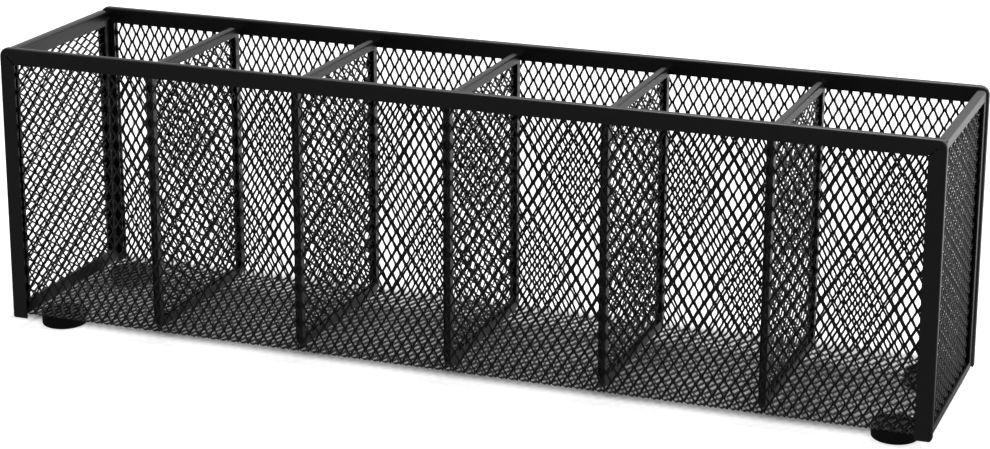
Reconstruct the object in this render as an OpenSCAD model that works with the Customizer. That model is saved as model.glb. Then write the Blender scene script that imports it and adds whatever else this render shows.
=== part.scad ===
// Long open-topped desk organizer of expanded steel mesh, edged with folded steel
// strip, with five mesh dividers and four rubber feet.
// +X is the length, +Y the depth towards the back, +Z up. The origin is on the
// surface that the feet stand on, under the middle of the box. Millimetres.

/* [Box] */
// Length over the edge strips
body_l = 312; // [200:1:420]
// Depth over the edge strips
body_d = 69; // [55:1:110]
// Height from the lower end of the posts to the rim
body_h = 93; // [60:1:130]

/* [Edge strip] */
// Thickness of the folded sheet
strip_t = 0.6; // [0.4:0.05:0.7]
// Outside radius along each fold of the strip
edge_r = 0.9; // [0.75:0.05:1.1]
// Thickness of the front and back frames over the strip
rim_thick = 2.6; // [2.3:0.1:3.5]
// Width of the faces of the front and back frames
rim_face = 5.4; // [4.5:0.1:8]
// Radius of the upper corners of the front and back frames
rim_corner_r = 3; // [1.5:0.1:4]
// Radius of the outer lower corners of the posts
post_corner_r = 1.2; // [0.7:0.1:2.5]
// Width of the slit where the faces of rail and post meet at 45 degrees
mitre_gap = 0.35; // [0.2:0.05:0.6]
// Thickness of an end frame over the strip
end_thick = 3; // [2.3:0.1:4]
// Width of the outer face of an end frame
end_face = 3.2; // [2.8:0.1:5]
// Width of the inner face of an end frame
end_inner_face = 5.3; // [3.5:0.1:7]
// Radius of the corners of an end frame
end_corner_r = 2.5; // [1.5:0.1:2.7]
// Setback of an end frame from the ends of the front and back frames
end_setback = 0.7; // [0.3:0.1:1.5]
// Drop of an end frame's top below the rim
end_drop = 0.8; // [0.2:0.1:2]
// Width of the butt joint in the bottom rail of an end frame
butt_gap = 0.3; // [0.2:0.05:0.6]

/* [Mesh] */
// Thickness of the expanded mesh
mesh_t = 0.9; // [0.6:0.05:1]
// Short way of a diamond, centre to centre
mesh_short = 8.1; // [7.2:0.3:15]
// Long way of a diamond, centre to centre
mesh_long = 13.2; // [11.7:0.3:24]
// Width of a strand
strand_w = 1.1; // [0.8:0.1:2]
// Inside radius of the fold between floor and walls
fold_r = 1.4; // [1:0.1:2.5]
// Narrowing of the mesh openings, each side, where they run round the fold
fold_narrow = 0.1; // [0.05:0.05:0.4]
// Height of the underside of the mesh floor above the lower end of the posts
floor_lift = 0.4; // [0.2:0.1:0.8]
// Uncut border of a mesh panel, hidden in its edge strip
selvage = 1.2; // [0.8:0.1:1.6]
// Clearance between the edge of a mesh panel and the strip round it
mesh_gap = 0.1; // [0.05:0.05:0.3]

/* [Dividers] */
// Thickness of a divider's frame over the strip
divider_thick = 2.4; // [2.2:0.1:3.5]
// Width of the faces of a divider's frame
divider_face = 3.2; // [2.8:0.1:5]
// Radius of the corners of a divider's frame
divider_corner_r = 4; // [2:0.1:6]
// Drop of a divider's top below the rim
divider_drop = 2.3; // [1:0.1:6]

/* [Feet] */
// Diameter of a rubber foot
foot_d = 14.8; // [10:0.2:20]
// Height of a rubber foot
foot_h = 4.5; // [3:0.1:8]
// Radius of the lower edge of a foot
foot_edge_r = 0.8; // [0.3:0.1:1.5]
// Clearance between a foot and the end frame beside it
foot_gap_x = 2.1; // [0.5:0.1:12]
// Width of flat floor left between a foot and the fold of the mesh
foot_gap_y = 0.5; // [0.2:0.1:5]

/* [Hidden] */

// Faces along a true circle
$fn = 48;
// Overshoot of a cutter past the face that it cuts
over = 1;
// Paint of the folded strips, of the mesh and the colour of the rubber
strip_paint = "#232328";
mesh_paint = "#1c1c20";
rubber = "#141416";

// Levels: lower ends of the posts, underside and top of the floor, and the rim
post_z = foot_h - floor_lift;
floor_z = foot_h;
floor_top = floor_z + mesh_t;
rim_z = post_z + body_h;

// The wall mesh lies in the middle of the front and back frames
wall_in = rim_thick / 2 - mesh_t / 2;
// Middle of the fold's arc, measured inwards from the front and up from the floor
fold_in = wall_in + mesh_t + fold_r;
fold_z = floor_top + fold_r;

// End frames stand between the front and back frames
end_depth = body_d - 2 * rim_thick;
end_height = body_h - end_drop;
end_x = body_l / 2 - end_setback - end_thick;

// Compartments, one more than the dividers
compartments = 6;
divider_pitch = (body_l - end_thick) / compartments;
divider_depth = body_d - 2 * rim_thick;
divider_height = rim_z - divider_drop - floor_top;
function divider_x(k) = (k - compartments / 2) * divider_pitch;

// Half of a mesh opening, the short way: half a diamond less half a strand all round
open_short = mesh_short / 2 - strand_w / 2 * norm([mesh_short, mesh_long]) / mesh_long;

// One opening of the mesh, for a given long way of the diamond
module diamond(long) {
    open_long = open_short * long / mesh_short;
    polygon([[-open_short, 0], [0, -open_long], [open_short, 0], [0, open_long]]);
}

// Openings over a field of the given width and height, centred across the width and
// with a row of openings on the line y = 0
module diamond_field(width, height, long) {
    columns = ceil(width / mesh_short / 2) + 1;
    rows = ceil(2 * height / long) + 1;
    for (j = [-1 : rows])
        for (i = [-columns : columns])
            translate([(i + (j % 2 == 0 ? 0 : 0.5)) * mesh_short, j * long / 2])
                diamond(long);
}

// Flat panel of mesh with an uncut border, lower left corner at the origin
module framed_mesh(width, height) {
    linear_extrude(mesh_t) difference() {
        square([width, height]);
        intersection() {
            translate([selvage, selvage]) square([width - 2 * selvage, height - 2 * selvage]);
            translate([width / 2, 0]) diamond_field(width, height, mesh_long);
        }
    }
}

// Section of a folded strip: a U whose web lies along x, with two legs up y
module strip_section(thick, leg, far_leg) {
    difference() {
        union() {
            translate([edge_r, 0]) square([thick - 2 * edge_r, edge_r]);
            for (x = [edge_r, thick - edge_r]) translate([x, edge_r]) circle(edge_r);
            translate([0, edge_r]) square([thick / 2, leg - edge_r]);
            translate([thick / 2, edge_r]) square([thick / 2, far_leg - edge_r]);
        }
        translate([strip_t, strip_t]) square([thick - 2 * strip_t, max(leg, far_leg)]);
    }
}

// Part of a leg beyond the corner radius: a flat ring
module leg_plate(width, height, leg, corner_r) {
    if (leg > corner_r)
        linear_extrude(strip_t) difference() {
            translate([corner_r, corner_r])
                square([width - 2 * corner_r, height - 2 * corner_r]);
            translate([leg, leg]) square([width - 2 * leg, height - 2 * leg]);
        }
}

// Strip folded round a rectangle with rounded corners. The rectangle lies in x and y
// with its lower left corner at the origin, and the strip's thickness runs up z.
module strip_ring(width, height, thick, leg, far_leg, corner_r) {
    run_w = width - 2 * corner_r;
    run_h = height - 2 * corner_r;
    sides = [
        [[width - corner_r, 0, 0], 0, run_w],
        [[width, height - corner_r, 0], 90, run_h],
        [[corner_r, height, 0], 180, run_w],
        [[0, corner_r, 0], 270, run_h]
    ];
    corners = [
        [[width - corner_r, height - corner_r, 0], 0],
        [[corner_r, height - corner_r, 0], 90],
        [[corner_r, corner_r, 0], 180],
        [[width - corner_r, corner_r, 0], 270]
    ];
    // Straight runs and round corners, as far in as the corner radius reaches
    for (s = sides)
        translate(s[0]) rotate(s[1]) rotate([0, -90, 0]) linear_extrude(s[2]) intersection() {
            strip_section(thick, leg, far_leg);
            square([thick, corner_r]);
        }
    for (c = corners)
        translate(c[0]) rotate(c[1]) rotate_extrude(angle = 90) intersection() {
            translate([corner_r, 0]) rotate(90) strip_section(thick, leg, far_leg);
            square([corner_r, thick]);
        }
    leg_plate(width, height, leg, corner_r);
    translate([0, 0, thick - strip_t]) leg_plate(width, height, far_leg, corner_r);
}

// Stands a panel drawn in x and y upright, facing the front, at depth y
module facing_front(y) {
    translate([0, y, 0]) rotate([90, 0, 0]) children();
}

// Stands a panel drawn in x and y upright, facing the right end, at x
module facing_end(x) {
    translate([x, 0, 0]) rotate([90, 0, 90]) children();
}

// Cutter that rounds the outer lower corner of a post
module post_corner() {
    rotate([-90, 0, 0]) linear_extrude(rim_thick + 2 * over) difference() {
        square(post_corner_r + over);
        circle(post_corner_r);
    }
}

// Front frame: left post, top rail and right post in one strip, folded at the two
// upper corners, where its faces meet at a slit
module rim_frame() {
    ring_h = body_h + 2 * rim_face;
    slit_l = (rim_face - rim_corner_r) * sqrt(2) + over;
    color(strip_paint)
        difference() {
            facing_front(-body_d / 2 + rim_thick)
                translate([-body_l / 2, rim_z - ring_h, 0])
                    strip_ring(body_l, ring_h, rim_thick, rim_face, rim_face, rim_corner_r);
            // Posts end square, with their outer corners rounded
            translate([-body_l / 2 - over, -body_d / 2 - over, rim_z - ring_h - over])
                cube([body_l + 2 * over, rim_thick + 2 * over, ring_h - body_h + over]);
            for (side = [0, 1])
                mirror([side, 0, 0])
                    translate([body_l / 2 - post_corner_r, -body_d / 2 - over, post_z + post_corner_r])
                        post_corner();
            // The inner faces of the posts stop above the fold of the floor
            translate([-body_l / 2 + strip_t, -body_d / 2 + rim_thick - strip_t, post_z - over])
                cube([body_l - 2 * strip_t, strip_t + over, fold_z - post_z + over]);
            // Slits at 45 degrees from the inner corners
            for (side = [-1, 1])
                translate([side * (body_l / 2 - rim_face), -body_d / 2 - over, rim_z - rim_face])
                    rotate([0, side > 0 ? -45 : -135, 0])
                        translate([-over / 2, 0, -mitre_gap / 2])
                            cube([slit_l, rim_thick + 2 * over, mitre_gap]);
        }
}

// Front wall of the mesh body, with the fold that leads to the floor
module wall_mesh() {
    wall_w = body_l - 2 * (strip_t + mesh_gap);
    wall_h = rim_z - strip_t - mesh_gap - fold_z;
    fold_l = 2 * end_x;
    color(mesh_paint) {
        facing_front(-body_d / 2 + wall_in + mesh_t)
            translate([0, fold_z, 0]) linear_extrude(mesh_t) difference() {
                translate([-wall_w / 2, 0]) square([wall_w, wall_h]);
                intersection() {
                    translate([-fold_l / 2 + selvage, -over])
                        square([fold_l - 2 * selvage, wall_h + over - selvage]);
                    diamond_field(wall_w, wall_h, mesh_long);
                }
            }
        translate([-fold_l / 2, -body_d / 2 + fold_in, fold_z])
            difference() {
                rotate([90, 0, 90]) linear_extrude(fold_l) intersection() {
                    difference() {
                        circle(fold_r + mesh_t);
                        circle(fold_r);
                    }
                    translate([-fold_in - over, -fold_in - over]) square(fold_in + over);
                }
                translate([fold_l / 2, 0, 0]) fold_slots(fold_l);
            }
    }
}

// Openings of the mesh where it runs round the fold: each joins half an opening of the
// wall to half an opening of the floor, both at their widest
module fold_slots(fold_l) {
    half_w = open_short - fold_narrow;
    reach = fold_l / 2 - selvage - fold_narrow;
    columns = ceil(reach / mesh_short);
    deep = fold_r + mesh_t + over;
    for (i = [-columns : columns]) {
        from = max(i * mesh_short - half_w, -reach);
        to = min(i * mesh_short + half_w, reach);
        if (to > from)
            translate([from, -deep, -deep]) cube([to - from, deep, deep]);
    }
}

// Flat floor between the two folds
module floor_mesh() {
    floor_l = 2 * end_x;
    floor_d = body_d - 2 * fold_in;
    long = floor_d / round(floor_d / mesh_long);
    color(mesh_paint)
        translate([0, -floor_d / 2, floor_z]) linear_extrude(mesh_t) difference() {
            translate([-floor_l / 2, 0]) square([floor_l, floor_d]);
            intersection() {
                translate([-floor_l / 2 + selvage, -over])
                    square([floor_l - 2 * selvage, floor_d + 2 * over]);
                diamond_field(floor_l, floor_d, long);
            }
        }
}

// Right end frame, with its butt joint under the middle of the end
module end_frame() {
    color(strip_paint)
        difference() {
            facing_end(end_x)
                translate([-end_depth / 2, post_z, 0])
                    strip_ring(end_depth, end_height, end_thick,
                        end_inner_face, end_face, end_corner_r);
            translate([end_x - over, -butt_gap / 2, post_z - over])
                cube([end_thick + 2 * over, butt_gap, end_inner_face + 2 * over]);
            // Along the uprights the inner face is as narrow as the outer one
            if (end_inner_face > end_face)
                for (side = [0, 1])
                    mirror([0, side, 0])
                        translate([end_x - over, end_depth / 2 - end_inner_face - over,
                            post_z + end_inner_face])
                            cube([end_thick / 2 + over, end_inner_face - end_face + over,
                                end_height - 2 * end_inner_face]);
        }
}

// Mesh of the right end, in the groove of its frame
module end_mesh() {
    rim = strip_t + mesh_gap;
    color(mesh_paint)
        facing_end(end_x + end_thick / 2 - mesh_t / 2)
            translate([-end_depth / 2 + rim, post_z + rim, 0])
                framed_mesh(end_depth - 2 * rim, end_height - 2 * rim);
}

module divider_frame(k) {
    color(strip_paint)
        facing_end(divider_x(k) - divider_thick / 2)
            translate([-divider_depth / 2, floor_top, 0])
                strip_ring(divider_depth, divider_height, divider_thick,
                    divider_face, divider_face, divider_corner_r);
}

// Divider mesh, with its corners cut off at the rounded corners of its frame
module divider_mesh(k) {
    rim = strip_t + mesh_gap;
    width = divider_depth - 2 * rim;
    height = divider_height - 2 * rim;
    clip = divider_corner_r * (2 - sqrt(2));
    color(mesh_paint)
        facing_end(divider_x(k) - mesh_t / 2)
            translate([-divider_depth / 2 + rim, floor_top + rim, 0])
                difference() {
                    framed_mesh(width, height);
                    for (x = [0, width], y = [0, height])
                        translate([x, y, mesh_t / 2]) rotate(45)
                            cube([clip, clip, mesh_t + 2 * over], center = true);
                }
}

module foot(side_x, side_y) {
    r = foot_d / 2;
    x = end_x - foot_gap_x - r;
    y = body_d / 2 - fold_in - foot_gap_y - r;
    color(rubber)
        translate([side_x * x, side_y * y, 0])
            rotate_extrude() union() {
                square([r - foot_edge_r, foot_h]);
                translate([0, foot_edge_r]) square([r, foot_h - foot_edge_r]);
                translate([r - foot_edge_r, foot_edge_r]) circle(foot_edge_r);
            }
}

wall_mesh();  // front_mesh
floor_mesh();
rotate(180) wall_mesh();  // back_mesh
rim_frame();  // front_frame
rotate(180) rim_frame();  // back_frame
rotate(180) end_mesh();  // left_end_mesh
end_mesh();  // right_end_mesh
rotate(180) end_frame();  // left_end_frame
end_frame();  // right_end_frame
divider_mesh(1);  // divider_mesh_1
divider_mesh(2);  // divider_mesh_2
divider_mesh(3);  // divider_mesh_3
divider_mesh(4);  // divider_mesh_4
divider_mesh(5);  // divider_mesh_5
divider_frame(1);  // divider_frame_1
divider_frame(2);  // divider_frame_2
divider_frame(3);  // divider_frame_3
divider_frame(4);  // divider_frame_4
divider_frame(5);  // divider_frame_5
foot(-1, -1);  // foot_front_left
foot(1, -1);  // foot_front_right
foot(-1, 1);  // foot_back_left
foot(1, 1);  // foot_back_right
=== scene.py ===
"""Desk organizer of expanded steel mesh: its true mesh, its finishes, the studio and the camera.

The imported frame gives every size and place. The folded strips and the feet keep their own solids
and get their finishes here. The lattices are replaced by raised expanded mesh at its real pitch,
made strand by strand as it is cut and stretched: each strand runs from bond to bond along the
sheet. The strands of the body run down the front, across the floor and up the back, and those of
the ends and dividers run level.
"""

import logging
import math
from dataclasses import dataclass, field, replace
from enum import Enum

import bpy
import numpy as np
from mathutils import Matrix, Vector


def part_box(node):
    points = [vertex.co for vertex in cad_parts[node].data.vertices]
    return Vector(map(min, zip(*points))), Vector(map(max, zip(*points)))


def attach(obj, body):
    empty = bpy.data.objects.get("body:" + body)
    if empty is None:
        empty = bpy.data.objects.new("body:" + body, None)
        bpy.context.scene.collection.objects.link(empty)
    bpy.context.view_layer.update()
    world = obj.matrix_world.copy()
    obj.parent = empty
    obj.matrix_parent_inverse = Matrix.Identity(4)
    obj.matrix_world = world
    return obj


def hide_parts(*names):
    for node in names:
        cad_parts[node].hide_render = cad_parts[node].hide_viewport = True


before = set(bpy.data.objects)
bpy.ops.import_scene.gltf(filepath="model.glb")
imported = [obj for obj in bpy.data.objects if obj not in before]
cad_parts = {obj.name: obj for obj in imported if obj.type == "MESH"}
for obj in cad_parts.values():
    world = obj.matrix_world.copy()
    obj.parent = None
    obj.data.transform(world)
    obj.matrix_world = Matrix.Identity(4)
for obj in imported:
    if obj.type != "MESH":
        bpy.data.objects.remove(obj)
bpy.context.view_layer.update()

LOG = logging.getLogger("organizer")
MM = 0.001
BODY = "root"
DIVIDERS = 5

# Kinds of values: a place or a direction, a start with its end, and a surface's vertices with
# its faces, which are four vertex numbers each
Point = tuple[float, float, float]
Span = tuple[float, float]
Surface = tuple[np.ndarray, np.ndarray]

WHITE = (1.0, 1.0, 1.0, 1.0)

# Sockets of a Mix node that mixes colours: its two colours, and the mixture that it gives
MIX_FIRST, MIX_SECOND, MIX_RESULT = 6, 7, 2


# ---------------------------------------------------------------- small helpers


def linear(hex_colour: str) -> tuple[float, float, float, float]:
    """Turns an sRGB hex colour into the linear values that a shader socket takes.

    Args:
        hex_colour: Six hex digits, with or without a leading number sign.

    Returns:
        Linear red, green and blue, and an alpha of 1.
    """
    digits = hex_colour.lstrip("#")
    srgb = [int(digits[i:i + 2], 16) / 255 for i in (0, 2, 4)]
    lin = [c / 12.92 if c <= 0.04045 else ((c + 0.055) / 1.055) ** 2.4 for c in srgb]
    return (lin[0], lin[1], lin[2], 1.0)


def add_node(tree: bpy.types.NodeTree, kind: str, settings: dict | None = None,
             links: dict | None = None) -> bpy.types.Node:
    """Adds one node to a tree, with its settings and its incoming links.

    Args:
        tree: The node tree that gets the node.
        kind: Blender's name for the node's type.
        settings: Values by name: a socket's if the node has a socket of that name, or else a
            property's.
        links: Output sockets by the name or number of the input socket that they feed.

    Returns:
        The new node.
    """
    node = tree.nodes.new(kind)
    for name, value in (settings or {}).items():
        if name in node.inputs:
            node.inputs[name].default_value = value
        else:
            setattr(node, name, value)
    for name, output in (links or {}).items():
        tree.links.new(output, node.inputs[name])
    return node


def blank_material(name: str) -> tuple[bpy.types.Material, bpy.types.NodeTree]:
    """Makes a material with an empty node tree.

    Args:
        name: Name of the material.

    Returns:
        The material and its node tree.
    """
    mat = bpy.data.materials.new(name)
    mat.use_nodes = True
    mat.node_tree.nodes.clear()
    return mat, mat.node_tree


# ---------------------------------------------------------------- finishes


class Slot(Enum):
    """The record's material slots."""

    STRIP = "strip_paint"
    MESH = "mesh_paint"
    FOOT = "foot_rubber"


@dataclass(frozen=True)
class PowderCoat:
    """Polyester powder coat baked on steel.

    It gives the eye a near-black satin skin: a soft sheen along folds and edges, a slight orange
    peel in that sheen, and a faint change of depth where the powder built up. The film flows out
    as it bakes, so it shines once more on top, as a thin clear skin.

    Attributes:
        name: Name of the material.
        colour: Colour where the powder lies thin.
        thick_colour: Colour where it built up.
        roughness: Mean roughness of the film.
        roughness_spread: How far the orange peel takes the roughness up and down.
        peel_size: Size of the orange peel's dimples.
        peel_height: Their depth.
        peel_detail: How many finer layers the dimples have.
        build_up_size: Size of the patches of thicker powder.
        build_up_detail: How many finer layers they have.
        ior: Refractive index of polyester.
        skin: Share of the clear skin's shine.
    """

    name: str
    colour: str = "#0e0e11"
    thick_colour: str = "#15151a"
    roughness: float = 0.34
    roughness_spread: float = 0.08
    peel_size: float = 1.1 * MM
    peel_height: float = 0.012 * MM
    peel_detail: float = 1.0
    build_up_size: float = 14 * MM
    build_up_detail: float = 2.0
    ior: float = 1.5
    skin: float = 0.6

    def material(self) -> bpy.types.Material:
        """Builds the material.

        Returns:
            The material, ready to dress a piece with.
        """
        mat, tree = blank_material(self.name)
        place = add_node(tree, "ShaderNodeTexCoord").outputs["Object"]
        build_up = add_node(tree, "ShaderNodeTexNoise",
                            {"Scale": 1 / self.build_up_size, "Detail": self.build_up_detail},
                            {"Vector": place})
        peel = add_node(tree, "ShaderNodeTexNoise",
                        {"Scale": 1 / self.peel_size, "Detail": self.peel_detail},
                        {"Vector": place})
        colour = add_node(tree, "ShaderNodeMix", {"data_type": "RGBA"},
                          {"Factor": build_up.outputs["Fac"]})
        colour.inputs[MIX_FIRST].default_value = linear(self.colour)
        colour.inputs[MIX_SECOND].default_value = linear(self.thick_colour)
        rough = add_node(tree, "ShaderNodeMapRange",
                         {"To Min": self.roughness - self.roughness_spread,
                          "To Max": self.roughness + self.roughness_spread},
                         {"Value": peel.outputs["Fac"]})
        bump = add_node(tree, "ShaderNodeBump", {"Distance": self.peel_height},
                        {"Height": peel.outputs["Fac"]})
        shader = add_node(tree, "ShaderNodeBsdfPrincipled",
                          {"IOR": self.ior, "Coat Weight": self.skin,
                           "Coat Roughness": self.roughness},
                          {"Base Color": colour.outputs[MIX_RESULT],
                           "Roughness": rough.outputs["Result"],
                           "Normal": bump.outputs["Normal"],
                           "Coat Normal": bump.outputs["Normal"]})
        add_node(tree, "ShaderNodeOutputMaterial", links={"Surface": shader.outputs["BSDF"]})
        return mat


@dataclass(frozen=True)
class MouldedRubber:
    """Black rubber, compression moulded.

    It gives the eye a matt black with hardly any sheen and a fine grain from the mould.

    Attributes:
        name: Name of the material.
        colour: Its colour.
        roughness: Its roughness.
        grain_size: Size of the grain.
        grain_height: Its depth.
        grain_detail: How many finer layers it has.
        ior: Refractive index of rubber.
    """

    name: str
    colour: str = "#131314"
    roughness: float = 0.88
    grain_size: float = 0.5 * MM
    grain_height: float = 0.02 * MM
    grain_detail: float = 3.0
    ior: float = 1.52

    def material(self) -> bpy.types.Material:
        """Builds the material.

        Returns:
            The material, ready to dress a piece with.
        """
        mat, tree = blank_material(self.name)
        place = add_node(tree, "ShaderNodeTexCoord").outputs["Object"]
        grain = add_node(tree, "ShaderNodeTexNoise",
                         {"Scale": 1 / self.grain_size, "Detail": self.grain_detail},
                         {"Vector": place})
        bump = add_node(tree, "ShaderNodeBump", {"Distance": self.grain_height},
                        {"Height": grain.outputs["Fac"]})
        shader = add_node(tree, "ShaderNodeBsdfPrincipled",
                          {"Base Color": linear(self.colour), "Roughness": self.roughness,
                           "IOR": self.ior},
                          {"Normal": bump.outputs["Normal"]})
        add_node(tree, "ShaderNodeOutputMaterial", links={"Surface": shader.outputs["BSDF"]})
        return mat


# What the solids and meshes of each slot are painted with or made of
FINISHES: dict[Slot, PowderCoat | MouldedRubber] = {
    Slot.STRIP: PowderCoat("powder_coated_strip"),
    Slot.MESH: PowderCoat("powder_coated_mesh", colour="#08080a", thick_colour="#0c0c0f",
                          roughness=0.42),
    Slot.FOOT: MouldedRubber("moulded_rubber"),
}


def dress(piece: bpy.types.Object, material: bpy.types.Material) -> None:
    """Gives a piece one material all over, in place of what it has.

    Args:
        piece: The piece to dress.
        material: Its material.
    """
    piece.data.materials.clear()
    piece.data.materials.append(material)


def dress_nodes(nodes: tuple[str, ...], material: bpy.types.Material) -> list[bpy.types.Object]:
    """Gives the solids of some nodes one material.

    Args:
        nodes: Names of the nodes.
        material: Their material.

    Returns:
        The dressed solids.
    """
    pieces = [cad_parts[node] for node in nodes]
    for piece in pieces:
        dress(piece, material)
    return pieces


# ---------------------------------------------------------------- expanded mesh


@dataclass(frozen=True)
class SheetPath:
    """The way that a sheet of mesh runs, seen from its edge: straight runs and quarter turns.

    Attributes:
        start: First point of the sheet's middle.
        heading: Direction of the first run, a unit vector.
        outward: Direction of the sheet's outer face on the first run, a unit vector.
        runs: Length of each straight run.
        radius: Radius of the turns between runs, to the sheet's middle.
    """

    start: Point
    heading: Point
    outward: Point
    runs: tuple[float, ...]
    radius: float = 0.0

    @property
    def turn(self) -> float:
        """Length of one quarter turn."""
        return self.radius * math.pi / 2

    def limits(self, run: int) -> Span:
        """Returns where a straight run starts and ends, measured along the sheet."""
        start = sum(self.runs[:run]) + run * self.turn
        return start, start + self.runs[run]

    def place(self, along: np.ndarray) -> tuple[np.ndarray, np.ndarray]:
        """Finds points of the sheet's middle and the direction of its outer face there.

        A straight run adds its length times its heading. A quarter turn away from the outer
        face adds radius times sine of the angle along the heading, and radius times one minus
        its cosine against the outer face, and swings both directions by that angle.

        Args:
            along: Distances along the sheet from its first edge.

        Returns:
            Points and unit directions, three values for each distance.
        """
        points = np.zeros((len(along), 3))
        outs = np.zeros((len(along), 3))
        origin = np.array(self.start)
        head = np.array(self.heading)
        out = np.array(self.outward)
        for run in range(len(self.runs)):
            low, high = self.limits(run)
            first = -np.inf if run == 0 else low
            last = np.inf if run == len(self.runs) - 1 else high
            here = (along >= first) & (along <= last)
            points[here] = origin + (along[here] - low)[:, None] * head
            outs[here] = out
            origin = origin + self.runs[run] * head
            if run < len(self.runs) - 1:
                here = (along > high) & (along < high + self.turn)
                angle = ((along[here] - high) / self.radius)[:, None]
                points[here] = (origin + self.radius * np.sin(angle) * head
                                - self.radius * (1 - np.cos(angle)) * out)
                outs[here] = np.cos(angle) * out + np.sin(angle) * head
                origin = origin + self.radius * head - self.radius * out
                head, out = -out, head
        return points, outs


@dataclass(frozen=True)
class Stretch:
    """How unevenly a sheet of mesh was stretched and laid.

    Attributes:
        marks: Places along the sheet.
        widths: Width of the diamonds at each place, as a share of the mean.
        drifts: How far the strands stand off their even places there.
    """

    marks: tuple[float, ...] = (0.0, 1.0)
    widths: tuple[float, ...] = (1.0, 1.0)
    drifts: tuple[float, ...] = (0.0, 0.0)

    def width(self, along: np.ndarray) -> np.ndarray:
        """Returns the width of the diamonds at distances along the sheet."""
        return np.interp(along, self.marks, self.widths)

    def drift(self, along: np.ndarray) -> np.ndarray:
        """Returns how far strands stand off their places at distances along the sheet."""
        return np.interp(along, self.marks, self.drifts)


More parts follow.
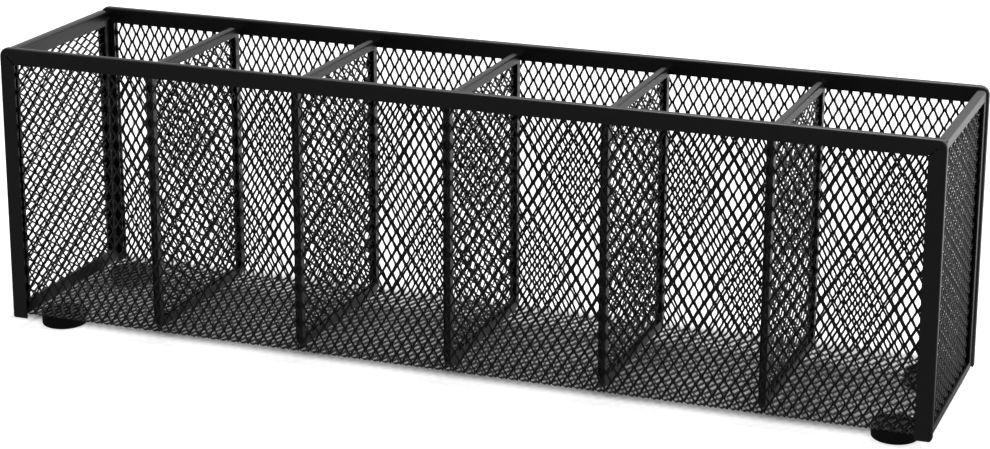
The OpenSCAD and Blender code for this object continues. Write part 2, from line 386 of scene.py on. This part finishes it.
@dataclass(frozen=True)
class ExpandedMesh:
    """Raised expanded steel mesh, slit and stretched, as office mesh is made.

    Attributes:
        short_way: Short way of a diamond, centre to centre.
        long_way: Long way of a diamond, centre to centre.
        strand: Width of a strand, as slit.
        gauge: Thickness of the steel with its paint.
        tilt: Angle by which stretching turns each strand about the long way.
        bond: Length of a bond, where two strands stay joined side by side.
        turn_stations: Sections drawn round a quarter turn.
    """

    short_way: float = 3.6 * MM
    long_way: float = 5.85 * MM
    strand: float = 0.70 * MM
    gauge: float = 0.29 * MM
    tilt: float = math.radians(26)
    bond: float = 0.75 * MM
    turn_stations: int = 4

    @property
    def row(self) -> float:
        """Distance between neighbouring strands, half of the short way."""
        return self.short_way / 2

    def stations(self, start: float, end: float, phase: float,
                 turns: tuple[Span, ...] = ()) -> np.ndarray:
        """Lists the places along a strand at which its section is drawn.

        They are the ends of each bond, the middle of each stretch between bonds, the two ends
        of the piece, and a few more round each quarter turn.

        Args:
            start: Where the piece starts, measured along the sheet.
            end: Where it ends.
            phase: A place along the sheet with a bond.
            turns: Start and end of each quarter turn in the piece.

        Returns:
            Rising distances along the sheet.
        """
        half = self.long_way / 2
        first = math.floor((start - phase) / half)
        last = math.ceil((end - phase) / half)
        bonds = phase + half * np.arange(first, last + 1)
        marks = np.concatenate([bonds - self.bond / 2, bonds + self.bond / 2, bonds + half / 2])
        for low, high in turns:
            marks = np.concatenate([marks, np.linspace(low, high, self.turn_stations)])
        # A mark that lies closer than this to another one or to an end is left out
        least = self.gauge / 4
        marks = np.sort(marks[(marks > start + least) & (marks < end - least)])
        marks = marks[np.concatenate([[True], np.diff(marks) > least])]
        return np.concatenate([[start], marks, [end]])

    def sway(self, along: np.ndarray, columns: np.ndarray, phase: float) -> np.ndarray:
        """Says how far each strand leans to its neighbours, from -1 at the left to 1 at the right.

        It is a wave with flat tops: 1 along a bond with the right neighbour, -1 along a bond
        with the left one, half a long way further, and a straight line between. Every second
        strand starts half a long way later.

        Args:
            along: Distances along the sheet.
            columns: Whole numbers of the strands.
            phase: A place along the sheet with a right-hand bond of the strand numbered 0.

        Returns:
            One row for each strand, with one value for each distance.
        """
        late = np.where(columns % 2 == 0, 0.0, self.long_way / 2)
        turns = ((along[None, :] - phase - late[:, None]) / self.long_way) % 1.0
        away = np.minimum(turns, 1 - turns) * self.long_way
        free = self.long_way / 2 - self.bond
        return np.clip(1 - 2 * (away - self.bond / 2) / free, -1, 1)

    def strands(self, path: SheetPath, across: Point, columns: np.ndarray,
                stations: np.ndarray, phase: float, stretch: Stretch) -> Surface:
        """Carries a flat section along every strand of a panel.

        The middle of a strand lies at its number times the row distance, plus its sway times
        half a row less half a strand, so that two strands lie side by side at a bond. The
        section is a rectangle, strand by gauge, turned by the tilt. Between bonds it is widened
        by the slope of the strand, so that the strand keeps its width.

        Args:
            path: The way that the sheet runs.
            across: Unit direction across the strands.
            columns: Whole numbers of the strands.
            stations: Distances along the sheet at which the section is drawn.
            phase: A place along the sheet with a bond.
            stretch: How evenly the mesh is stretched.

        Returns:
            The vertices, and the faces as four vertex numbers each.
        """
        points, outs = path.place(stations)
        sway = self.sway(stations, columns, phase)
        lean = np.array([math.cos(self.tilt), math.sin(self.tilt)])
        rise = np.array([-math.sin(self.tilt), math.cos(self.tilt)])
        row = self.row * stretch.width(stations)[None, :]
        slope = (self.row - self.strand) / (self.long_way / 2 - self.bond)
        widen = 1 + (math.hypot(1, slope) - 1) * (np.abs(sway) < 1)
        middle_x = (columns[:, None] * row + sway * (row - self.strand * lean[0]) / 2
                    + stretch.drift(stations)[None, :])
        middle_out = -sway * self.strand * lean[1] / 2
        corners = np.array([[-1, -1], [1, -1], [1, 1], [-1, 1]]) / 2
        wide = corners[:, 0] * self.strand * widen[..., None]
        thick = corners[:, 1] * self.gauge
        x = middle_x[..., None] + wide * lean[0] + thick * rise[0]
        out = middle_out[..., None] + wide * lean[1] + thick * rise[1]
        verts = (points[None, :, None, :] + x[..., None] * np.array(across)
                 + out[..., None] * outs[None, :, None, :]).reshape(-1, 3)
        return verts, self.strand_faces(len(columns), len(stations))

    @staticmethod
    def strand_faces(strands: int, sections: int) -> np.ndarray:
        """Numbers the faces of strands whose sections have four corners each.

        Four faces join each section to the next, and one face closes each end.

        Args:
            strands: How many strands there are.
            sections: How many sections each strand has.

        Returns:
            Four vertex numbers for each face.
        """
        corner = np.arange(4)
        following = (corner + 1) % 4
        ring = np.stack([corner, following, following + 4, corner + 4], axis=1)
        sides = (ring[None] + 4 * np.arange(sections - 1)[:, None, None]).reshape(-1, 4)
        caps = np.array([[3, 2, 1, 0], [0, 1, 2, 3]]) + [[0], [4 * (sections - 1)]]
        one = np.concatenate([sides, caps])
        return (one[None] + 4 * sections * np.arange(strands)[:, None, None]).reshape(-1, 4)


def mesh_piece(name: str, parts: list[Surface]) -> bpy.types.Object:
    """Puts computed surfaces into one smooth-shaded piece at the origin.

    Args:
        name: Name of the piece.
        parts: Vertices and four-cornered faces of each surface.

    Returns:
        The piece, linked to the scene.
    """
    offsets = np.cumsum([0] + [len(verts) for verts, _ in parts])
    verts = np.concatenate([verts for verts, _ in parts])
    faces = np.concatenate([faces + off for (_, faces), off in zip(parts, offsets)])
    mesh = bpy.data.meshes.new(name)
    mesh.vertices.add(len(verts))
    mesh.vertices.foreach_set("co", verts.astype(np.float32).ravel())
    mesh.loops.add(faces.size)
    mesh.loops.foreach_set("vertex_index", faces.astype(np.int32).ravel())
    mesh.polygons.add(len(faces))
    mesh.polygons.foreach_set("loop_start", np.arange(0, faces.size, 4, dtype=np.int32))
    mesh.polygons.foreach_set("use_smooth", np.ones(len(faces), dtype=bool))
    mesh.update(calc_edges=True)
    mesh.validate()
    piece = bpy.data.objects.new(name, mesh)
    bpy.context.scene.collection.objects.link(piece)
    return piece


@dataclass
class BodySheet:
    """The one folded sheet of mesh that is the front, the floor and the back.

    Attributes:
        mesh: The mesh that the sheet is cut from.
        finish: Its material.
        below_rail: Depth under the rim, front and back, at which a row of bonds lies.
        into_rail: How far the floor's edges reach into the folded rails of the ends.
        widths: Width of the diamonds at the front rim, the front fold, the back fold and the
            back rim, as a share of the mean.
        drifts: How far the strands stand to the right at the same four places.
        path: The way of the sheet: down the front, across the floor and up the back.
        phase: The place along the sheet of the first row of bonds under the front rim.
        stretch: The widths and drifts, at their places along the sheet.
    """

    mesh: ExpandedMesh
    finish: bpy.types.Material
    below_rail: float = 6.15 * MM
    into_rail: float = 1.5 * MM
    widths: tuple[float, float, float, float] = (1.0, 1.0, 0.989, 0.989)
    drifts: tuple[float, float, float, float] = (1.99 * MM, 0.59 * MM, -1.1 * MM, -1.1 * MM)
    path: SheetPath = field(init=False)
    phase: float = field(init=False)
    stretch: Stretch = field(init=False)

    def __post_init__(self) -> None:
        """Works out the way of the sheet from the boxes of the three nodes.

        The long way of the diamonds is taken a little up or down, so that a row of bonds lies
        at the same depth under the front rim and the back rim.
        """
        front_low, front_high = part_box("front_mesh")
        floor_low, floor_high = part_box("floor_mesh")
        thick = floor_high.z - floor_low.z
        outer_radius = front_high.y - front_low.y
        upright = front_high.z - floor_low.z - outer_radius
        self.path = SheetPath(
            start=(0.0, front_low.y + thick / 2, front_high.z),
            heading=(0.0, 0.0, -1.0), outward=(0.0, -1.0, 0.0),
            runs=(upright, floor_high.y - floor_low.y, upright),
            radius=outer_radius - thick / 2)
        self.phase = self.below_rail - (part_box("front_frame")[1].z - front_high.z)
        length = self.path.limits(2)[1]
        rows = round((length - 2 * self.phase) / (self.mesh.long_way / 2))
        self.mesh = replace(self.mesh, long_way=2 * (length - 2 * self.phase) / rows)
        self.stretch = Stretch((0.0, self.path.limits(0)[1], self.path.limits(2)[0], length),
                               self.widths, self.drifts)

    def columns(self, half_width: float, drifts: tuple[float, ...]) -> np.ndarray:
        """Returns the numbers of the strands that fit inside half a width each way.

        Args:
            half_width: Half of the width.
            drifts: How far the strands stand to the right at the ends of the part.

        Returns:
            Whole numbers from the left to the right.
        """
        room = half_width - self.mesh.row / 2
        first = math.ceil((-room - min(drifts)) / self.mesh.row)
        last = math.floor((room - max(drifts)) / self.mesh.row)
        return np.arange(first, last + 1)

    def build(self) -> list[bpy.types.Object]:
        """Makes the front with its fold, the floor, and the back with its fold.

        Returns:
            The three pieces.
        """
        front, floor, back = [self.path.limits(run) for run in range(3)]
        inner = self.columns(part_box("floor_mesh")[1].x + self.into_rail, self.drifts[1:3])
        return [
            self.wall("front_mesh", front, (front[1], floor[0]), inner, self.drifts[:2]),
            finish_mesh_piece("floor_mesh", [self.strands(inner, floor)], self.finish),
            self.wall("back_mesh", back, (floor[1], back[0]), inner, self.drifts[2:]),
        ]

    def wall(self, node: str, upright: Span, fold: Span, inner: np.ndarray,
             drifts: tuple[float, ...]) -> bpy.types.Object:
        """Makes the front or the back.

        The strands that the floor has too run on round the fold, and those beyond the floor's
        edges end with the upright part.

        Args:
            node: Name of the wall's node.
            upright: Start and end of the upright part, measured along the sheet.
            fold: Start and end of the quarter turn to the floor.
            inner: Numbers of the floor's strands.
            drifts: How far the strands stand to the right at the ends of the upright part.

        Returns:
            The piece.
        """
        span = (min(upright[0], fold[0]), max(upright[1], fold[1]))
        outer = np.setdiff1d(self.columns(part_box(node)[1].x, drifts), inner)
        parts = [self.strands(inner, span, (fold,)), self.strands(outer, upright)]
        return finish_mesh_piece(node, parts, self.finish)

    def strands(self, columns: np.ndarray, span: Span, turns: tuple[Span, ...] = ()) -> Surface:
        """Makes some strands of the sheet over a part of its length.

        Args:
            columns: Numbers of the strands.
            span: Start and end of the part, measured along the sheet.
            turns: Start and end of each quarter turn in it.

        Returns:
            Vertices and four-cornered faces.
        """
        stations = self.mesh.stations(*span, self.phase, turns)
        return self.mesh.strands(self.path, across=(1.0, 0.0, 0.0), columns=columns,
                                 stations=stations, phase=self.phase, stretch=self.stretch)


@dataclass
class CrossPanels:
    """The flat panels of mesh across the box: two ends and five dividers.

    Their strands run level, so that their diamonds lie on their sides.

    Attributes:
        mesh: The mesh that they are cut from.
        finish: Its material.
        tilt: Turn of the strands in the dividers and, mirrored, in the left end.
        right_end_tilt: Turn of the strands in the right end, which stand up more.
    """

    mesh: ExpandedMesh
    finish: bpy.types.Material
    tilt: float = math.radians(30)
    right_end_tilt: float = math.radians(40)

    def build(self) -> list[bpy.types.Object]:
        """Makes the ends and the dividers.

        Returns:
            The left end, the right end and the dividers from the left.
        """
        return [
            self.panel("left_end_mesh", side=-1, tilt=-self.tilt),
            self.panel("right_end_mesh", side=1, tilt=self.right_end_tilt),
            *(self.panel(f"divider_mesh_{number}", side=1, tilt=self.tilt)
              for number in range(1, DIVIDERS + 1)),
        ]

    def panel(self, node: str, side: int, tilt: float) -> bpy.types.Object:
        """Makes one panel, whose middle is the middle of its node's box.

        Args:
            node: Name of the panel's node.
            side: 1 where its outer face looks along +X, and -1 where it looks along -X.
            tilt: Turn of its strands.

        Returns:
            The piece.
        """
        mesh = replace(self.mesh, tilt=tilt)
        low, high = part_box(node)
        middle = (low + high) / 2
        depth = high.y - low.y
        path = SheetPath(start=(middle.x, low.y, middle.z), heading=(0.0, 1.0, 0.0),
                         outward=(float(side), 0.0, 0.0), runs=(depth,))
        most = math.floor(((high.z - low.z) / 2 - mesh.row / 2) / mesh.row)
        phase = depth / 2
        part = mesh.strands(path, across=(0.0, 0.0, float(side)),
                            columns=np.arange(-most, most + 1),
                            stations=mesh.stations(0.0, depth, phase), phase=phase,
                            stretch=Stretch())
        return finish_mesh_piece(node, [part], self.finish)


def finish_mesh_piece(node: str, parts: list[Surface],
                      finish: bpy.types.Material) -> bpy.types.Object:
    """Makes a piece of expanded mesh that stands for a node.

    Args:
        node: Name of the node that the piece replaces.
        parts: Vertices and faces of its surfaces.
        finish: Its material.

    Returns:
        The finished piece.
    """
    piece = mesh_piece(node.replace("mesh", "expanded_mesh"), parts)
    dress(piece, finish)
    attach(piece, BODY)
    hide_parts(node)
    return piece


# ---------------------------------------------------------------- strips and feet


@dataclass
class EdgeStrips:
    """The folded steel strips: two rims, two ends and five dividers, kept as their solids.

    Attributes:
        finish: Their material.
        nodes: Names of their nodes.
    """

    finish: bpy.types.Material
    nodes: tuple[str, ...] = (
        "front_frame", "back_frame", "left_end_frame", "right_end_frame",
        *(f"divider_frame_{number}" for number in range(1, DIVIDERS + 1)))

    def build(self) -> list[bpy.types.Object]:
        """Dresses every strip and returns them."""
        return dress_nodes(self.nodes, self.finish)


@dataclass
class Feet:
    """The four round rubber feet, kept as their solids.

    Attributes:
        finish: Their material.
        nodes: Names of their nodes.
    """

    finish: bpy.types.Material
    nodes: tuple[str, ...] = (
        "foot_front_left", "foot_front_right", "foot_back_left", "foot_back_right")

    def build(self) -> list[bpy.types.Object]:
        """Dresses every foot and returns them."""
        return dress_nodes(self.nodes, self.finish)


# ---------------------------------------------------------------- studio


@dataclass(frozen=True)
class Camera:
    """The camera, given by the way that it looks at the box.

    Attributes:
        azimuth: How far it stands round to the right of straight in front.
        elevation: How far it looks down.
        roll: Turn about its own axis.
        position: Where it stands, measured from the middle of the posts' lower ends.
        focal: Focal length in image widths.
        shift: Sideways and upward shift in image widths.
        sensor: Width of the sensor in millimetres, as Blender takes it.
        clip_start: Distance from which it sees.
    """

    azimuth: float = math.radians(19.783)
    elevation: float = math.radians(16.160)
    roll: float = math.radians(0.421)
    position: Point = (283.2 * MM, -732.8 * MM, 286.2 * MM)
    focal: float = 2.563030303
    shift: tuple[float, float] = (-0.0454545455, -0.0550505051)
    sensor: float = 36.0
    clip_start: float = 10 * MM

    def build(self) -> None:
        """Makes the camera and looks through it.

        Forward is the front direction turned by the azimuth and lowered by the elevation,
        right is level, and the roll turns right and down about forward.
        """
        az, el = self.azimuth, self.elevation
        forward = np.array([-math.sin(az) * math.cos(el), math.cos(az) * math.cos(el),
                            -math.sin(el)])
        level = np.array([math.cos(az), math.sin(az), 0.0])
        down = np.cross(forward, level)
        right = math.cos(self.roll) * level - math.sin(self.roll) * down
        down = math.sin(self.roll) * level + math.cos(self.roll) * down
        data = bpy.data.cameras.new("camera")
        data.sensor_fit = "HORIZONTAL"
        data.sensor_width = self.sensor
        data.lens = self.focal * self.sensor
        data.shift_x, data.shift_y = self.shift
        data.clip_start = self.clip_start
        camera = bpy.data.objects.new("camera", data)
        turn = np.stack([right, -down, -forward], axis=1)
        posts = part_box("front_frame")[0].z
        place = Vector(self.position) + Vector((0.0, 0.0, posts))
        camera.matrix_world = Matrix.Translation(place) @ Matrix(turn.tolist()).to_4x4()
        bpy.context.scene.collection.objects.link(camera)
        bpy.context.scene.camera = camera


@dataclass(frozen=True)
class SoftLight:
    """One square soft box over the organizer.

    Attributes:
        name: Name of the light.
        position: Where it hangs.
        size: Length of its side.
        power: Power in watts.
        aim: The point that it looks at, the middle of the organizer.
    """

    name: str
    position: Point
    size: float
    power: float
    aim: Point = (0.0, 0.0, 50 * MM)

    def build(self) -> None:
        """Makes the light and turns it to its aim."""
        data = bpy.data.lights.new(self.name, "AREA")
        data.shape = "SQUARE"
        data.size = self.size
        data.energy = self.power
        light = bpy.data.objects.new(self.name, data)
        light.location = self.position
        way = Vector(self.aim) - Vector(self.position)
        light.rotation_euler = way.to_track_quat("-Z", "Y").to_euler()
        bpy.context.scene.collection.objects.link(light)


@dataclass(frozen=True)
class Studio:
    """A pale floor in a room that is bright behind the object and dim in front of it.

    The eye sees a white room and a white floor, with a painted shade under the box: there the
    floor's own glow is held low, over the real shadow that the lights cast. Polished surfaces
    reflect the room as it is: the bright floor and wall behind, and the dim side that the
    camera stands on.

    Attributes:
        floor_side: Length of the floor's sides.
        floor_colour: Its colour.
        floor_glow: Light that the floor gives of its own to the eye, under the box and outside it;
        the low value under the box is painted shade.
        painted_shade_place: Middle of the painted shade, a little back, where the eye sees it
            through the mesh.
        painted_shade_half: Half its length and half its depth.
        painted_shade_edge: Width of the band round it in which the floor's light rises.
        ramp: Depths between which the reflected floor goes from dim to bright.
        turn: Backward parts of a direction between which the room goes from dim to bright.
        dim: Brightness of the dim side, in reflections.
        bright: Brightness of the bright side, in reflections.
        floor_bright: Brightness of the floor on that side, in reflections.
        ambient: Share of the room's brightness that reaches matt surfaces.
        lights: The soft boxes.
    """

    floor_side: float = 12.0
    floor_colour: str = "#f4f4f4"
    floor_glow: tuple[float, float] = (0.0, 0.8)
    painted_shade_place: Point = (-8 * MM, 13 * MM, 0.0)
    painted_shade_half: tuple[float, float] = (150 * MM, 33 * MM)
    painted_shade_edge: float = 8 * MM
    ramp: Span = (-0.05, 0.2)
    turn: Span = (-0.6, 0.4)
    dim: float = 0.13
    bright: float = 0.52
    floor_bright: float = 1.0
    ambient: float = 0.3
    lights: tuple[SoftLight, ...] = (
        SoftLight("key_light", position=(0.7, 0.9, 1.2), size=1.0, power=6.0),
        SoftLight("top_light", position=(0.0, 0.05, 1.5), size=1.0, power=14.5),
    )

    def build(self) -> None:
        """Makes the floor, the room and the lights."""
        self.build_floor()
        self.build_world()
        for light in self.lights:
            light.build()
        bpy.context.scene.view_settings.view_transform = "Standard"

    @staticmethod
    def seen(tree: bpy.types.NodeTree, ray: bpy.types.Node) -> bpy.types.NodeSocket:
        """Makes a switch that is 1 for what the eye sees, straight or through something clear.

        Args:
            tree: The node tree to add to.
            ray: Its Light Path node.

        Returns:
            The socket of the switch.
        """
        either = add_node(tree, "ShaderNodeMath", {"operation": "MAXIMUM"},
                          {0: ray.outputs["Is Camera Ray"],
                           1: ray.outputs["Is Transmission Ray"]})
        return either.outputs["Value"]

    def backward(self, tree: bpy.types.NodeTree, vector: bpy.types.NodeSocket,
                 span: Span, bright: float) -> bpy.types.NodeSocket:
        """Makes a brightness that rises from dim to bright towards the back.

        Args:
            tree: The node tree to add to.
            vector: A place or a direction.
            span: Backward parts of it at which the brightness is dim and bright.
            bright: The brightness of the bright side.

        Returns:
            The socket that gives the brightness.
        """
        part = add_node(tree, "ShaderNodeSeparateXYZ", links={"Vector": vector})
        level = add_node(tree, "ShaderNodeMapRange",
                         {"From Min": span[0], "From Max": span[1], "To Min": self.dim,
                          "To Max": bright, "interpolation_type": "SMOOTHSTEP"},
                         {"Value": part.outputs["Y"]})
        return level.outputs["Result"]

    def glow_round_painted_shade(self, tree: bpy.types.NodeTree,
                    place: bpy.types.NodeSocket) -> bpy.types.NodeSocket:
        """Makes the floor's own light: low in a painted shade under the box, rising outside it.

        The distance outside the painted shade is the larger of two: how far the place lies from
        the shade's middle in X less half its length, and the same in Y with its depth.

        Args:
            tree: The node tree to add to.
            place: A place on the floor.

        Returns:
            The socket that gives the light.
        """
        shifted = add_node(tree, "ShaderNodeVectorMath", {"operation": "SUBTRACT"}, {0: place})
        shifted.inputs[1].default_value = self.painted_shade_place
        part = add_node(tree, "ShaderNodeSeparateXYZ", links={"Vector": shifted.outputs["Vector"]})
        beyond = []
        for axis, half in zip("XY", self.painted_shade_half):
            distance = add_node(tree, "ShaderNodeMath", {"operation": "ABSOLUTE"},
                                {0: part.outputs[axis]})
            excess = add_node(tree, "ShaderNodeMath", {"operation": "SUBTRACT"},
                              {0: distance.outputs["Value"]})
            excess.inputs[1].default_value = half
            beyond.append(excess.outputs["Value"])
        away = add_node(tree, "ShaderNodeMath", {"operation": "MAXIMUM"},
                        {0: beyond[0], 1: beyond[1]})
        # Painted shade: the floor's glow stays at its low value under the box and rises round it
        rising = add_node(tree, "ShaderNodeMapRange",
                          {"From Min": 0.0, "From Max": self.painted_shade_edge,
                           "To Min": self.floor_glow[0], "To Max": self.floor_glow[1],
                           "interpolation_type": "SMOOTHSTEP"},
                          {"Value": away.outputs["Value"]})
        return rising.outputs["Result"]

    def floor_material(self) -> bpy.types.Material:
        """Makes the floor's paper, which is lit and shaded as usual and shines a little to the eye.

        Under the box its shine is held low, which paints shade over the real shadow there.
        Polished surfaces see it dim in front and bright behind instead.

        Returns:
            The material.
        """
        mat, tree = blank_material("floor_paper")
        ray = add_node(tree, "ShaderNodeLightPath")
        place = add_node(tree, "ShaderNodeTexCoord").outputs["Object"]
        # The glow that the eye sees is low under the box: painted shade over the real shadow
        glow = add_node(tree, "ShaderNodeMath", {"operation": "MULTIPLY"},
                        {0: self.seen(tree, ray), 1: self.glow_round_painted_shade(tree, place)})
        shine = add_node(tree, "ShaderNodeEmission", {"Color": WHITE},
                         {"Strength": glow.outputs["Value"]})
        paper = add_node(tree, "ShaderNodeBsdfDiffuse", {"Color": linear(self.floor_colour)})
        both = add_node(tree, "ShaderNodeAddShader",
                        links={0: shine.outputs["Emission"], 1: paper.outputs["BSDF"]})
        level = self.backward(tree, place, self.ramp, self.floor_bright)
        reflected = add_node(tree, "ShaderNodeEmission", {"Color": WHITE}, {"Strength": level})
        whole = add_node(tree, "ShaderNodeMixShader",
                         links={0: ray.outputs["Is Glossy Ray"], 1: both.outputs["Shader"],
                                2: reflected.outputs["Emission"]})
        add_node(tree, "ShaderNodeOutputMaterial", links={"Surface": whole.outputs["Shader"]})
        return mat

    def build_floor(self) -> None:
        """Makes the floor, one square face with its middle under the organizer."""
        half = self.floor_side / 2
        corners = [(-half, -half, 0.0), (half, -half, 0.0), (half, half, 0.0), (-half, half, 0.0)]
        data = bpy.data.meshes.new("floor")
        data.from_pydata(corners, [], [(0, 1, 2, 3)])
        data.materials.append(self.floor_material())
        floor = bpy.data.objects.new("floor", data)
        bpy.context.scene.collection.objects.link(floor)

    def build_world(self) -> None:
        """Makes the room: white to the eye, and dim in front and bright behind to surfaces."""
        world = bpy.data.worlds.new("room")
        world.use_nodes = True
        tree = world.node_tree
        tree.nodes.clear()
        ray = add_node(tree, "ShaderNodeLightPath")
        direction = add_node(tree, "ShaderNodeTexCoord")
        level = self.backward(tree, direction.outputs["Generated"], self.turn, self.bright)
        share = add_node(tree, "ShaderNodeMapRange",
                         {"To Min": self.ambient, "To Max": 1.0},
                         {"Value": ray.outputs["Is Glossy Ray"]})
        room = add_node(tree, "ShaderNodeMath", {"operation": "MULTIPLY"},
                        {0: level, 1: share.outputs["Result"]})
        seen = add_node(tree, "ShaderNodeMath", {"operation": "MAXIMUM"},
                        {0: room.outputs["Value"], 1: self.seen(tree, ray)})
        sky = add_node(tree, "ShaderNodeBackground", {"Color": WHITE},
                       {"Strength": seen.outputs["Value"]})
        add_node(tree, "ShaderNodeOutputWorld", links={"Surface": sky.outputs["Background"]})
        bpy.context.scene.world = world


# ---------------------------------------------------------------- the whole


def main() -> None:
    """Builds the camera, the studio and the organizer, and reports each piece."""
    logging.basicConfig(level=logging.INFO, format="%(name)s %(message)s")
    Camera().build()
    Studio().build()
    finishes = {slot: finish.material() for slot, finish in FINISHES.items()}
    mesh = ExpandedMesh()
    parts = [
        EdgeStrips(finishes[Slot.STRIP]),
        BodySheet(mesh, finishes[Slot.MESH]),
        CrossPanels(mesh, finishes[Slot.MESH]),
        Feet(finishes[Slot.FOOT]),
    ]
    for part in parts:
        for piece in part.build():
            LOG.info("%s: %d faces", piece.name, len(piece.data.polygons))


if __name__ == "__main__":
    main()
